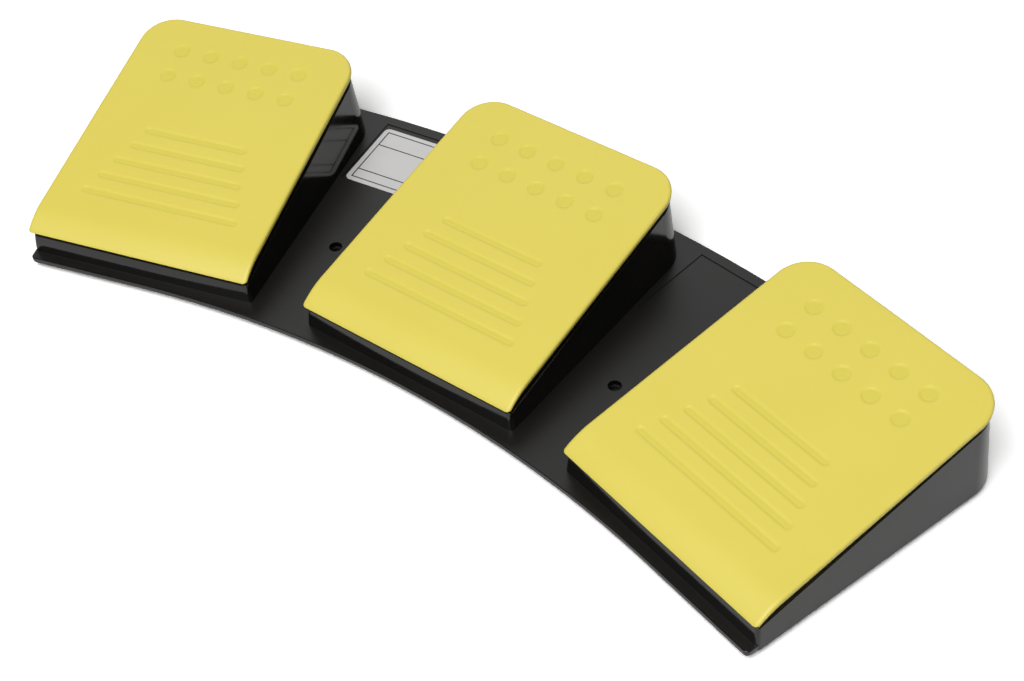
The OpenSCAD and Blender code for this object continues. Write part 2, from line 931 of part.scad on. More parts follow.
// Snap-action switch, screwed to the plate's upright tabs
module switch_body(k) {
    color([0.13, 0.13, 0.14])
        pedal_at(k)
            difference() {
                block(-switch_w / 2, switch_w / 2, switch_front, switch_back, switch_z, switch_top);
                translate([0, switch_r, switch_top - plunger_sunk - 1.2])
                    cylinder(r = plunger_r + pin_fit, h = 6);
                for (m = [-1, 1])
                    rear_bar(m * switch_screw_s, switch_front - 1, switch_screw_z, small_screw_r + 0.05, switch_d + 2);
                blades();
            }
}

module blades() {
    for (m = [-1, 0, 1])
        block(m * blade_s - blade_w / 2, m * blade_s + blade_w / 2, switch_r - blade_t / 2, switch_r + blade_t / 2,
            switch_z - blade_len, switch_z + blade_in);
}

module switch_body_left() {
    switch_body(-1);
}

module switch_body_centre() {
    switch_body(0);
}

module switch_body_right() {
    switch_body(1);
}

module switch_plunger(k) {
    color([0.75, 0.12, 0.1])
        pedal_at(k)
            translate([0, switch_r, switch_top - plunger_sunk])
                cylinder(r = plunger_r, h = plunger_sunk + plunger_h);
}

module switch_plunger_left() {
    switch_plunger(-1);
}

module switch_plunger_centre() {
    switch_plunger(0);
}

module switch_plunger_right() {
    switch_plunger(1);
}

module switch_terminals() {
    color([0.78, 0.62, 0.3])
        every_pedal()
            blades();
}

module switch_screws() {
    color([0.6, 0.61, 0.63])
        every_pedal()
            for (m = [-1, 1])
                difference() {
                    union() {
                        rear_bar(m * switch_screw_s, switch_front - small_head_h, switch_screw_z, small_head_r, small_head_h);
                        rear_bar(m * switch_screw_s, switch_front - 0.2, switch_screw_z, small_screw_r,
                            switch_d + plate_t + 0.8);
                    }
                    translate([m * switch_screw_s, switch_front - small_head_h, switch_screw_z])
                        rotate([-90, 0, 0])
                            drive_cross(0, 0.7);
                }
}

// Leads in pairs from the switch blades to the plugs on the board, drawn in the base's frame
function in_row(k, s, r, z) = [
    r * sin(k * fan) + s * cos(k * fan),
    r * cos(k * fan) - s * sin(k * fan),
    z
];
function blade_face(k, s) = [
    in_row(k, s, solder_r, switch_z - 0.5),
    in_row(k, s, solder_r, switch_z - 1.2),
    in_row(k, s, solder_r - 0.3, switch_z - 2.2)
];
function plug_end(s) = [
    [s, plug_front - 2.6, plug_lead_z - 2.4],
    [s, plug_front - 1.6, plug_lead_z],
    [s, plug_front - 0.8, plug_lead_z],
    [s, plug_front, plug_lead_z]
];

// A lead from an outer pedal runs along the plate and through the deck's channel
function outer_lead(k, s, lane, plug_s) = concat(
    blade_face(k, -k * s),
    [
        in_row(k, -k * (s + 1.6), channel_r + lane, lead_z),
        in_row(k, -k * (s + 5), channel_r + lane, lead_z),
        in_row(k, -k * (top_half - 2), channel_r + lane, lead_z),
        in_row(0, k * (top_half - 2), channel_r + lane, lead_z),
        in_row(0, k * (top_half - 12), channel_r + lane, lead_z),
        [plug_s + k * 3, board_front - 3.4 + 0.9 * lane, lead_z],
        [plug_s + k * 0.4, board_front - 2.2 + lane / 2, lead_z + 1]
    ],
    plug_end(plug_s)
);
function settled(p) = [for (q = p) [q[0], q[1], max(q[2], lead_z)]];
function inner_lead(s, lane, plug_s) = concat(
    blade_face(0, s),
    [
        [s + lane / 2, switch_r - 0.6, lead_z],
        [0.5 * s + lane, switch_r + 1.4, lead_z],
        [lane, switch_back, lead_z],
        [lane, switch_back + plate_t + 0.8, lead_z]
    ],
    plug_end(plug_s)
);

module lead_pair(paths) {
    color([0.55, 0.1, 0.1])
        placed()
            for (p = paths)
                wire(settled(smooth_path(p, 3)), lead_r, 8, [0.3, 0.9, 0.1]);
}

module switch_leads_left() {
    lead_pair([
        outer_lead(-1, blade_s, 0.8, -plug_pitch - 1.2),
        outer_lead(-1, 0, -0.8, -plug_pitch + 1.2)
    ]);
}

module switch_leads_centre() {
    lead_pair([inner_lead(0, -0.95, -1.2), inner_lead(blade_s, 0.95, 1.2)]);
}

module switch_leads_right() {
    lead_pair([
        outer_lead(1, blade_s, 0.8, plug_pitch + 1.2),
        outer_lead(1, 0, -0.8, plug_pitch - 1.2)
    ]);
}

// Controller board in the centre housing
module main_board() {
    color([0.05, 0.25, 0.12])
        pedal_at(0)
            difference() {
                block(-board_w / 2, board_w / 2, board_front, board_rear, board_z, board_top);
                board_spots()
                    translate([0, 0, board_z - 1])
                        cylinder(r = small_screw_r + 0.1, h = board_t + 2);
            }
}

module board_screws() {
    color([0.6, 0.61, 0.63])
        pedal_at(0)
            board_spots()
                difference() {
                    union() {
                        translate([0, 0, board_top])
                            cylinder(r = small_head_r, h = small_head_h);
                        translate([0, 0, plate_t + 0.8])
                            cylinder(r = small_screw_r, h = board_top - plate_t - 0.7);
                    }
                    translate([0, 0, board_top + small_head_h])
                        mirror([0, 0, 1])
                            drive_cross(0, 0.7);
                }
}

module controller_chip() {
    chip = 7;
    color([0.06, 0.06, 0.06])
        pedal_at(0)
            block(-chip / 2, chip / 2, board_front + 11, board_front + 11 + chip, board_top, board_top + 1.1);
}

module lead_plugs() {
    color([0.9, 0.88, 0.8])
        pedal_at(0)
            for (i = [-1, 0, 1])
                block(i * plug_pitch - plug_w / 2, i * plug_pitch + plug_w / 2, plug_front, plug_front + plug_d,
                    board_top, board_top + plug_h);
}

module cord_header() {
    w = 12.5;
    wall = 0.8;
    color([0.9, 0.88, 0.8])
        pedal_at(0)
            difference() {
                block(-w / 2, w / 2, board_rear - 6, board_rear - 0.5, board_top, board_top + plug_h);
                block(-w / 2 + wall, w / 2 - wall, board_rear - 6 + wall, board_rear + 1,
                    board_top + 1, board_top + plug_h - wall);
            }
}

// Rubber gland in the rear wall, with a flange on each side of its seat
module cable_grommet() {
    color([0.05, 0.05, 0.05])
        pedal_at(0)
            difference() {
                union() {
                    rear_bar(0, seat_front - flange_t, inlet_z, flange_r - 0.4, flange_t);
                    rear_bar(0, seat_front - 0.2, inlet_z, neck_r - neck_fit, seat_rear - seat_front + 0.4);
                    rear_bar(0, seat_rear, inlet_z, flange_r, flange_t);
                }
                rear_bar(0, seat_front - flange_t - 1, inlet_z, cord_r, seat_rear - seat_front + 2 * flange_t + 2);
            }
}

base_shell();
bottom_plate();
plate_screws();
feet();
blank_label();
cable_grommet();
pad_left();
pad_centre();
pad_right();
treadle_left();
treadle_centre();
treadle_right();
hinge_pin_left();
hinge_pin_centre();
hinge_pin_right();
spring_left_a();
spring_left_b();
spring_centre_a();
spring_centre_b();
spring_right_a();
spring_right_b();
switch_body_left();
switch_body_centre();
switch_body_right();
switch_plunger_left();
switch_plunger_centre();
switch_plunger_right();
switch_terminals();
switch_screws();
switch_leads_left();
switch_leads_centre();
switch_leads_right();
main_board();
board_screws();
controller_chip();
lead_plugs();
cord_header();
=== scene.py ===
"""Row of three foot pedals on an arc-shaped black base, with yellow rubber pads."""
import json
import math

import bmesh
import bpy
from mathutils import Matrix, Vector


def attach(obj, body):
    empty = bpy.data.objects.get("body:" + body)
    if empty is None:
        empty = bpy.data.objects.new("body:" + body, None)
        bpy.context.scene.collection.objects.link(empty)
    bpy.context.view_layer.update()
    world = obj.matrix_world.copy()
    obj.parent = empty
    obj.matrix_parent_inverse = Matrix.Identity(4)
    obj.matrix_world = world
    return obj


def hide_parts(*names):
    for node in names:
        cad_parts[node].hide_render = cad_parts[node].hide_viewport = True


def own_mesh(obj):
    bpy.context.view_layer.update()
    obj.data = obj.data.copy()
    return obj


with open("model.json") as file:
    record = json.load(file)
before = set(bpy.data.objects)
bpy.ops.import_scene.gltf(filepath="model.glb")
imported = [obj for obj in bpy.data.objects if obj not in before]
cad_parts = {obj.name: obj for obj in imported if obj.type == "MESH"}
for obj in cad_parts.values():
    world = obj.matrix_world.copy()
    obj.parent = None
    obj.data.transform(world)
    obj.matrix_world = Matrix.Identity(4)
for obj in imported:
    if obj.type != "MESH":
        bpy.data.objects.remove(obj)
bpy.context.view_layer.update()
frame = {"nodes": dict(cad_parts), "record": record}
MM = 0.001

# Camera
# A short tele lens above the right-hand front corner of the row, looking down
# along its length and rolled a little, as in the photograph.
LENS_MM = 63.63
SENSOR_MM = 36.0
EYE = Vector((0.2613, -0.30451, 0.41466))
EYE_AZIMUTH = math.radians(39.232)
EYE_ELEVATION = math.radians(46.86)
EYE_ROLL = math.radians(-4.239)
CLIP_NEAR, CLIP_FAR = 0.01, 50


def camera_axes(azimuth, elevation, roll):
    """Right, up and back directions of a camera that looks down at the row."""
    back = Vector((
        math.sin(azimuth) * math.cos(elevation),
        -math.cos(azimuth) * math.cos(elevation),
        math.sin(elevation),
    ))
    level = (-back).cross(Vector((0, 0, 1))).normalized()
    upright = level.cross(-back)
    right = math.cos(roll) * level + math.sin(roll) * upright
    up = -math.sin(roll) * level + math.cos(roll) * upright
    return right, up, back


lens = bpy.data.cameras.new("photo_lens")
lens.lens = LENS_MM
lens.sensor_width = SENSOR_MM
lens.sensor_fit = "HORIZONTAL"
lens.clip_start = CLIP_NEAR
lens.clip_end = CLIP_FAR
camera = bpy.data.objects.new("photo_camera", lens)
turn = Matrix(camera_axes(EYE_AZIMUTH, EYE_ELEVATION, EYE_ROLL)).transposed()
camera.matrix_world = Matrix.Translation(EYE) @ turn.to_4x4()
bpy.context.scene.collection.objects.link(camera)
bpy.context.scene.camera = camera

# Bottom plate
# A sheet steel plate cut to the arc of the base, powder coated dark grey, with
# turned-up tabs and pressed posts. Twelve screws hold it under the shell.
PLATE_EDGE = 0.2 * MM
FINE_DETAIL, CLOUD_DETAIL, CLOUD_ROUGHNESS = 3, 4, 0.6
CLOUD_LOW, CLOUD_HIGH = 0.35, 0.65
FINE_SHARE = 0.35
WELD_WITHIN = 0.002 * MM
FLAT_WITHIN = math.radians(0.3)
EDGE_FROM = math.radians(32)
EDGE_ROOM = 1.1


def grain_group():
    """Shader group: the fine grain of a moulded or coated surface."""
    group = bpy.data.node_groups.new("mould_grain", "ShaderNodeTree")
    face = group.interface
    face.new_socket("Fine Scale", in_out="INPUT", socket_type="NodeSocketFloat")
    face.new_socket("Cloud Scale", in_out="INPUT", socket_type="NodeSocketFloat")
    face.new_socket("Height", in_out="OUTPUT", socket_type="NodeSocketFloat")
    face.new_socket("Tone", in_out="OUTPUT", socket_type="NodeSocketFloat")
    nodes, links = group.nodes, group.links
    given = nodes.new("NodeGroupInput")
    out = nodes.new("NodeGroupOutput")
    place = nodes.new("ShaderNodeTexCoord")
    fine = nodes.new("ShaderNodeTexNoise")
    fine.inputs["Detail"].default_value = FINE_DETAIL
    cloud = nodes.new("ShaderNodeTexNoise")
    cloud.inputs["Detail"].default_value = CLOUD_DETAIL
    cloud.inputs["Roughness"].default_value = CLOUD_ROUGHNESS
    spread = nodes.new("ShaderNodeMapRange")
    spread.inputs["From Min"].default_value = CLOUD_LOW
    spread.inputs["From Max"].default_value = CLOUD_HIGH
    blend = nodes.new("ShaderNodeMix")
    blend.inputs["Factor"].default_value = FINE_SHARE
    links.new(place.outputs["Object"], fine.inputs["Vector"])
    links.new(place.outputs["Object"], cloud.inputs["Vector"])
    links.new(given.outputs["Fine Scale"], fine.inputs["Scale"])
    links.new(given.outputs["Cloud Scale"], cloud.inputs["Scale"])
    links.new(cloud.outputs["Fac"], spread.inputs["Value"])
    links.new(spread.outputs["Result"], blend.inputs["A"])
    links.new(fine.outputs["Fac"], blend.inputs["B"])
    links.new(fine.outputs["Fac"], out.inputs["Height"])
    links.new(blend.outputs["Result"], out.inputs["Tone"])
    return group


GRAIN = grain_group()


def grained(name, dark, light, rough, fine, cloud, depth, metal=0.0):
    """A finish whose colour, roughness and relief, some mm deep, follow the grain."""
    material = bpy.data.materials.new(name)
    material.use_nodes = True
    nodes, links = material.node_tree.nodes, material.node_tree.links
    shader = nodes["Principled BSDF"]
    shader.inputs["Metallic"].default_value = metal
    grain = nodes.new("ShaderNodeGroup")
    grain.node_tree = GRAIN
    grain.inputs["Fine Scale"].default_value = fine
    grain.inputs["Cloud Scale"].default_value = cloud
    tint = nodes.new("ShaderNodeMix")
    tint.name = "tint"
    tint.data_type = "RGBA"
    tint.inputs["A"].default_value = (*dark, 1)
    tint.inputs["B"].default_value = (*light, 1)
    sheen = nodes.new("ShaderNodeMapRange")
    sheen.name = "sheen"
    sheen.inputs["To Min"].default_value, sheen.inputs["To Max"].default_value = rough
    bump = nodes.new("ShaderNodeBump")
    bump.inputs["Strength"].default_value = 1
    bump.inputs["Distance"].default_value = depth * MM
    links.new(grain.outputs["Tone"], tint.inputs["Factor"])
    links.new(tint.outputs["Result"], shader.inputs["Base Color"])
    links.new(grain.outputs["Tone"], sheen.inputs["Value"])
    links.new(sheen.outputs["Result"], shader.inputs["Roughness"])
    links.new(grain.outputs["Height"], bump.inputs["Height"])
    links.new(bump.outputs["Normal"], shader.inputs["Normal"])
    return material


def merged_copy(node):
    """A bmesh of a CAD node with its loose triangles joined into whole faces."""
    bm = bmesh.new()
    bm.from_mesh(frame["nodes"][node].data)
    bmesh.ops.remove_doubles(bm, verts=bm.verts, dist=WELD_WITHIN)
    bmesh.ops.dissolve_limit(
        bm, angle_limit=FLAT_WITHIN, verts=bm.verts, edges=bm.edges, delimit={"NORMAL"}
    )
    return bm


def settled(raw, name, material):
    """Turns an object with modifiers into a plain mesh piece and drops the raw one."""
    graph = bpy.context.evaluated_depsgraph_get()
    mesh = bpy.data.meshes.new_from_object(raw.evaluated_get(graph), depsgraph=graph)
    mesh.name = name
    bpy.data.objects.remove(raw)
    piece = bpy.data.objects.new(name, mesh)
    bpy.context.scene.collection.objects.link(piece)
    mesh.materials.clear()
    mesh.materials.append(material)
    return piece


def rounded_object(bm, name, width, material, segments=2):
    """An object whose outer edges are rounded off; inner corners and fine steps stay sharp."""
    bevelled = bm.edges.layers.float.new("bevel_weight_edge")
    for edge in bm.edges:
        if len(edge.link_faces) == 2 and edge.calc_face_angle(0) > EDGE_FROM:
            long = edge.calc_length()
            room = min([long] + [face.calc_area() / long for face in edge.link_faces])
            if edge.is_convex and room > EDGE_ROOM * width:
                edge[bevelled] = 1
            else:
                edge.smooth = False
    mesh = bpy.data.meshes.new(name)
    bm.to_mesh(mesh)
    bm.free()
    mesh.shade_smooth()
    raw = bpy.data.objects.new(name + "_raw", mesh)
    bpy.context.scene.collection.objects.link(raw)
    bevel = raw.modifiers.new("round", "BEVEL")
    bevel.limit_method = "WEIGHT"
    bevel.width = width
    bevel.segments = segments
    bevel.use_clamp_overlap = False
    bevel.miter_outer = "MITER_ARC"
    even = raw.modifiers.new("even", "WEIGHTED_NORMAL")
    even.keep_sharp = True
    return settled(raw, name, material)


def fitted(piece, body, slot, *nodes):
    """Puts a finished piece on its body in place of its CAD nodes."""
    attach(piece, body)
    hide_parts(*nodes)


coated_steel = grained(
    "coated_steel", dark=(0.014, 0.014, 0.015), light=(0.026, 0.026, 0.028),
    rough=(0.38, 0.5), fine=3200, cloud=60, depth=0.012,
)
bottom_plate = rounded_object(merged_copy("bottom_plate"), "plate", PLATE_EDGE, coated_steel)
fitted(bottom_plate, "base", "plate_grey", "bottom_plate")

# Feet
# Twelve round rubber feet, cut from sheet with a softened lower rim and glued
# under the plate, two in front and two behind under each pedal.
FOOT_EDGE = 0.25 * MM
FAN = math.radians(15.4)
ARC_CENTRE_Y = -412.973018 * MM


def islands(bm):
    """The separate shells of a bmesh, as lists of vertices, in the mesh's own order."""
    taken, found = set(), []
    for first in bm.verts:
        if first in taken:
            continue
        taken.add(first)
        shell, ahead = [], [first]
        while ahead:
            vert = ahead.pop()
            shell.append(vert)
            for link in vert.link_edges:
                other = link.other_vert(vert)
                if other not in taken:
                    taken.add(other)
                    ahead.append(other)
        found.append(shell)
    return found


def middle_of(shell):
    """Middle of a shell's box."""
    low = Vector(min(v.co[i] for v in shell) for i in range(3))
    high = Vector(max(v.co[i] for v in shell) for i in range(3))
    return (low + high) / 2


def repeat_tree():
    """Geometry nodes: one pattern piece set at every point and turned to its pedal."""
    tree = bpy.data.node_groups.new("repeat_piece", "GeometryNodeTree")
    face = tree.interface
    face.new_socket("Points", in_out="INPUT", socket_type="NodeSocketGeometry")
    face.new_socket("Pattern", in_out="INPUT", socket_type="NodeSocketObject")
    face.new_socket("Finish", in_out="INPUT", socket_type="NodeSocketMaterial")
    face.new_socket("Geometry", in_out="OUTPUT", socket_type="NodeSocketGeometry")
    nodes, links = tree.nodes, tree.links
    given = nodes.new("NodeGroupInput")
    out = nodes.new("NodeGroupOutput")
    pattern = nodes.new("GeometryNodeObjectInfo")
    turned = nodes.new("GeometryNodeInputNamedAttribute")
    turned.data_type = "FLOAT"
    turned.inputs["Name"].default_value = "turn"
    about_z = nodes.new("ShaderNodeCombineXYZ")
    place = nodes.new("GeometryNodeInstanceOnPoints")
    real = nodes.new("GeometryNodeRealizeInstances")
    finish = nodes.new("GeometryNodeSetMaterial")
    links.new(given.outputs["Points"], place.inputs["Points"])
    links.new(given.outputs["Pattern"], pattern.inputs["Object"])
    links.new(pattern.outputs["Geometry"], place.inputs["Instance"])
    links.new(turned.outputs["Attribute"], about_z.inputs["Z"])
    links.new(about_z.outputs["Vector"], place.inputs["Rotation"])
    links.new(place.outputs["Instances"], real.inputs["Geometry"])
    links.new(real.outputs["Geometry"], finish.inputs["Geometry"])
    links.new(given.outputs["Finish"], finish.inputs["Material"])
    links.new(finish.outputs["Geometry"], out.inputs["Geometry"])
    return tree


REPEAT = repeat_tree()


def give(modifier, tree, values):
    """Sets a node modifier's inputs by their names, through the sockets' identifiers."""
    for item in tree.interface.items_tree:
        if item.item_type == "SOCKET" and item.in_out == "INPUT" and item.name in values:
            modifier[item.identifier] = values[item.name]


def repeated(node, name, width, material, segments=2):
    """Copies the shell of a CAD node nearest the row's middle to the place of each shell."""
    bm = merged_copy(node)
    shells = islands(bm)
    spots = [middle_of(s) for s in shells]
    turns = [-FAN * round(math.atan2(p.x, p.y - ARC_CENTRE_Y) / FAN) for p in spots]
    order = [(abs(turns[i]), round(abs(p.x), 5), p.y, i) for i, p in enumerate(spots)]
    own = min(order)[-1]
    keep = set(shells[own])
    bmesh.ops.delete(bm, geom=[v for v in bm.verts if v not in keep], context="VERTS")
    bmesh.ops.translate(bm, verts=bm.verts, vec=-spots[own])
    pattern = rounded_object(bm, name + "_pattern", width, material, segments)
    points = bpy.data.meshes.new(name + "_spots")
    points.from_pydata(spots, [], [])
    points.attributes.new("turn", "FLOAT", "POINT").data.foreach_set("value", turns)
    raw = bpy.data.objects.new(name + "_spots", points)
    bpy.context.scene.collection.objects.link(raw)
    modifier = raw.modifiers.new("repeat", "NODES")
    modifier.node_group = REPEAT
    give(modifier, REPEAT, {"Pattern": pattern, "Finish": material})
    piece = settled(raw, name, material)
    bpy.data.objects.remove(pattern)
    return piece


foot_rubber = grained(
    "foot_rubber", dark=(0.012, 0.012, 0.012), light=(0.028, 0.028, 0.028),
    rough=(0.62, 0.8), fine=1800, cloud=90, depth=0.03,
)
feet = repeated("feet", "rubber_feet", FOOT_EDGE, foot_rubber, segments=3)
fitted(feet, "base", "foot_rubber", "feet")

# Plate screws
# Twelve countersunk self-tapping screws of zinc plated steel with a cross recess,
# driven from below through the plate into the bosses of the shell.
SCREW_EDGE = 0.04 * MM
zinc = grained(
    "zinc_plate", dark=(0.50, 0.51, 0.53), light=(0.66, 0.67, 0.68),
    rough=(0.24, 0.4), fine=3000, cloud=300, depth=0.004, metal=1.0,
)
screws = repeated("plate_screws", "plate_fixings", SCREW_EDGE, zinc, segments=1)
fitted(screws, "base", "steel", "plate_screws")

# Switches
# A small snap switch stands behind each pedal's middle: a dark moulded body with a
# red plunger on top and brass blades below, screwed to a turned-up tab of the plate.
SIDES = {"left": -1, "centre": 0, "right": 1}
BODY_EDGE = 0.3 * MM
PLUNGER_EDGE = 0.15 * MM
BLADE_EDGE = 0.08 * MM
switch_plastic = grained(
    "switch_plastic", dark=(0.03, 0.03, 0.032), light=(0.05, 0.05, 0.054),
    rough=(0.42, 0.55), fine=2200, cloud=150, depth=0.01,
)
plunger_plastic = grained(
    "plunger_plastic", dark=(0.48, 0.03, 0.022), light=(0.6, 0.045, 0.033),
    rough=(0.25, 0.35), fine=2500, cloud=300, depth=0.004,
)
brass = grained(
    "blade_brass", dark=(0.62, 0.45, 0.18), light=(0.78, 0.6, 0.3),
    rough=(0.25, 0.42), fine=2500, cloud=400, depth=0.005, metal=1.0,
)
for side in SIDES:
    solid = merged_copy("switch_body_" + side)
    body = rounded_object(solid, "switch_case_" + side, BODY_EDGE, switch_plastic)
    fitted(body, "base", "switch_black", "switch_body_" + side)
    solid = merged_copy("switch_plunger_" + side)
    plunger = rounded_object(solid, "plunger_cap_" + side, PLUNGER_EDGE, plunger_plastic, segments=3)
    fitted(plunger, "plunger_" + side, "plunger_red", "switch_plunger_" + side)
blades = repeated("switch_terminals", "switch_blades", BLADE_EDGE, brass)
fitted(blades, "base", "blade_brass", "switch_terminals")
tab_screws = repeated("switch_screws", "tab_screws", SCREW_EDGE, zinc, segments=1)
fitted(tab_screws, "base", "steel", "switch_screws")

# Circuit board
# A green epoxy board on four posts of the plate carries the controller chip, a
# header for the cord and three ivory plugs for the leads.
BOARD_EDGE = 0.08 * MM
CHIP_EDGE, HEADER_EDGE, PLUG_EDGE = 0.15 * MM, 0.15 * MM, 0.2 * MM
board_green = grained(
    "board_green", dark=(0.012, 0.12, 0.05), light=(0.022, 0.18, 0.08),
    rough=(0.3, 0.4), fine=1500, cloud=180, depth=0.01,
)
chip_black = grained(
    "chip_black", dark=(0.014, 0.014, 0.014), light=(0.025, 0.025, 0.026),
    rough=(0.5, 0.62), fine=4000, cloud=300, depth=0.01,
)
plug_ivory = grained(
    "plug_ivory", dark=(0.78, 0.74, 0.62), light=(0.85, 0.82, 0.72),
    rough=(0.4, 0.5), fine=2200, cloud=200, depth=0.008,
)
solid = merged_copy("main_board")
board = rounded_object(solid, "controller_board", BOARD_EDGE, board_green, segments=1)
fitted(board, "base", "board_green", "main_board")
chip = rounded_object(merged_copy("controller_chip"), "chip", CHIP_EDGE, chip_black)
fitted(chip, "base", "chip_black", "controller_chip")
header = rounded_object(merged_copy("cord_header"), "header", HEADER_EDGE, plug_ivory)
fitted(header, "base", "plug_ivory", "cord_header")
plugs = repeated("lead_plugs", "plugs", PLUG_EDGE, plug_ivory)
fitted(plugs, "base", "plug_ivory", "lead_plugs")
board_screws = repeated("board_screws", "post_screws", SCREW_EDGE, zinc, segments=1)
fitted(board_screws, "base", "steel", "board_screws")

# Leads
# Thin red insulated wires in pairs, soldered to each switch's blades. They lie on the
# plate, pass under the deck from the outer pedals, and end in the plugs on the board.
# Points of a route are millimetres along, out from the arc's centre, and up.
LEAD_RADIUS, LEAD_HEIGHT, LEAD_SPLIT = 0.55, 3.0, 1.2
BLADE_SIDE, BLADE_OUT, BLADE_HEIGHT = 8.6, 424.12, 7.2
SOLDERED = ((0, -0.5), (0, -1.2), (-0.3, -2.2))
LANE_OUT, LANE_SPLIT, LANE_END = 424.0, 0.8, 37.4
LANE_JOINED, LANE_LEFT = (1.6, 5.0), 10.0
BOARD_FRONT = 434.0
BOARD_BENDS = ((3.0, -3.4, 0.9, 0), (0.4, -2.2, 0.5, 1))
INNER_SPLIT = 0.95
UNDER_SWITCH = ((1, 0.5, 424.4), (0.5, 1, 426.4), (0, 1, 428.25), (0, 1, 430.45))
PLUG_PITCH, PLUG_FRONT, PLUG_HEIGHT = 9.0, 435.5, 11.6
PLUG_ENTRY = ((-2.6, -2.4), (-1.6, 0), (-0.8, 0), (0, 0))
ROUTE_STEPS = 8
WIRE_SIDES = 14


def row_point(k, s, r, z):
    """A point beside pedal k, from millimetres along and out from the arc's centre."""
    a = k * FAN
    x = r * math.sin(a) + s * math.cos(a)
    y = r * math.cos(a) - s * math.sin(a)
    return Vector((x * MM, y * MM + ARC_CENTRE_Y, z * MM))


def smooth_route(points):
    """Points along a smooth line through the given points."""
    route = []
    for i in range(len(points) - 1):
        a, b = points[max(i - 1, 0)], points[i]
        c, d = points[i + 1], points[min(i + 2, len(points) - 1)]
        for j in range(ROUTE_STEPS + (i == len(points) - 2)):
            t = j / ROUTE_STEPS
            route.append(0.5 * (
                2 * b + (c - a) * t + (2 * a - 5 * b + 4 * c - d) * t * t
                + (3 * b - a - 3 * c + d) * t ** 3
            ))
    return route


def from_blade(k, s):
    """The soldered start of a lead, on the face of a blade."""
    return [row_point(k, s, BLADE_OUT + out, BLADE_HEIGHT + up) for out, up in SOLDERED]


def into_plug(s):
    """The end of a lead, level into the front of a plug."""
    return [row_point(0, s, PLUG_FRONT + out, PLUG_HEIGHT + up) for out, up in PLUG_ENTRY]


def outer_route(k, s, lane, plug):
    """A lead from an outer pedal, along the plate and through the deck's channel."""
    route = from_blade(k, -k * s)
    for along in (s + LANE_JOINED[0], s + LANE_JOINED[1], LANE_END):
        route.append(row_point(k, -k * along, LANE_OUT + lane, LEAD_HEIGHT))
    for along in (LANE_END, LANE_END - LANE_LEFT):
        route.append(row_point(0, k * along, LANE_OUT + lane, LEAD_HEIGHT))
    for along, out, of_lane, up in BOARD_BENDS:
        out += BOARD_FRONT + of_lane * lane
        route.append(row_point(0, plug + along * k, out, LEAD_HEIGHT + up))
    return route + into_plug(plug)


def inner_route(s, lane, plug):
    """A lead from the centre pedal, under its switch and up to the board."""
    route = from_blade(0, s)
    for of_blade, of_lane, out in UNDER_SWITCH:
        route.append(row_point(0, of_blade * s + of_lane * lane, out, LEAD_HEIGHT))
    return route + into_plug(plug)


def wire_tree():
    """Geometry nodes: a round wire drawn along every line of points."""
    tree = bpy.data.node_groups.new("wire_on_path", "GeometryNodeTree")
    face = tree.interface
    face.new_socket("Path", in_out="INPUT", socket_type="NodeSocketGeometry")
    face.new_socket("Radius", in_out="INPUT", socket_type="NodeSocketFloat")
    face.new_socket("Finish", in_out="INPUT", socket_type="NodeSocketMaterial")
    face.new_socket("Geometry", in_out="OUTPUT", socket_type="NodeSocketGeometry")
    nodes, links = tree.nodes, tree.links
    given = nodes.new("NodeGroupInput")
    out = nodes.new("NodeGroupOutput")
    line = nodes.new("GeometryNodeMeshToCurve")
    ring = nodes.new("GeometryNodeCurvePrimitiveCircle")
    ring.inputs["Resolution"].default_value = WIRE_SIDES
    drawn = nodes.new("GeometryNodeCurveToMesh")
    drawn.inputs["Fill Caps"].default_value = True
    smooth = nodes.new("GeometryNodeSetShadeSmooth")
    finish = nodes.new("GeometryNodeSetMaterial")
    links.new(given.outputs["Path"], line.inputs["Mesh"])
    links.new(given.outputs["Radius"], ring.inputs["Radius"])
    links.new(line.outputs["Curve"], drawn.inputs["Curve"])
    links.new(ring.outputs["Curve"], drawn.inputs["Profile Curve"])
    links.new(drawn.outputs["Mesh"], smooth.inputs["Geometry"])
    links.new(smooth.outputs["Geometry"], finish.inputs["Geometry"])
    links.new(given.outputs["Finish"], finish.inputs["Material"])
    links.new(finish.outputs["Geometry"], out.inputs["Geometry"])
    return tree


WIRE = wire_tree()


def wire_piece(name, routes, radius, material):
    """One mesh of round wires along the given routes."""
    points, edges = [], []
    for route in routes:
        start = len(points)
        points += route
        edges += [(i, i + 1) for i in range(start, len(points) - 1)]
    mesh = bpy.data.meshes.new(name + "_path")
    mesh.from_pydata(points, edges, [])
    raw = bpy.data.objects.new(name + "_path", mesh)
    bpy.context.scene.collection.objects.link(raw)
    modifier = raw.modifiers.new("wire", "NODES")
    modifier.node_group = WIRE
    give(modifier, WIRE, {"Radius": radius * MM, "Finish": material})
    return settled(raw, name, material)


def laid(route):
    """A smooth route that nowhere dips into the plate."""
    line = smooth_route(route)
    for point in line:
        point.z = max(point.z, LEAD_HEIGHT * MM)
    return line


